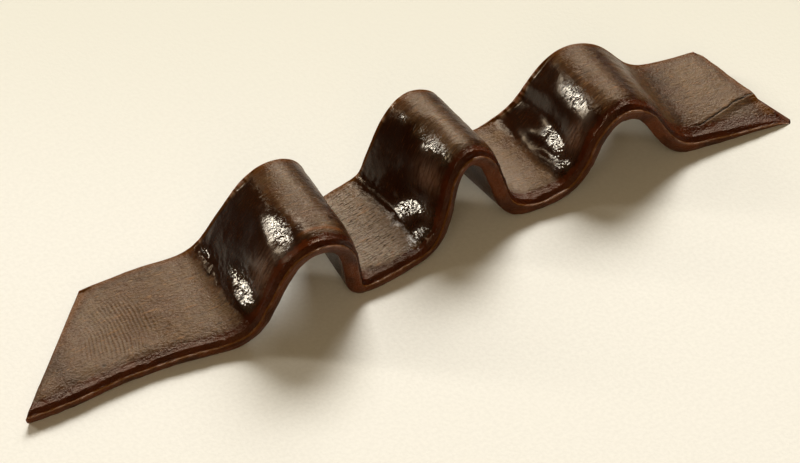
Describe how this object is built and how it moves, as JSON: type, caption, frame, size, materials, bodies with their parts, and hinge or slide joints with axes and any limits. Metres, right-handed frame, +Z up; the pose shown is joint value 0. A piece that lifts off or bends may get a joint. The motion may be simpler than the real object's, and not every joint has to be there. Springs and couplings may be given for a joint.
{
  "type": "ribbon candy",
  "caption": "Flat strip of dark chewy candy with slanted cut ends, stood up in three rounded waves between two flat ends.",
  "frame": {"origin": "middle of the ribbon's outer box, on the surface that it rests on", "axes": "+X along the ribbon from its longer slanted end to its shorter one, +Y to its back edge, +Z up"},
  "size_m": [0.1048, 0.019, 0.0143],
  "materials": {
    "candy": "satin to wet-looking dark brown candy skin, amber where it is thin"
  },
  "bodies": {
    "root": {"ribbon": "candy"}
  },
  "joints": []
}
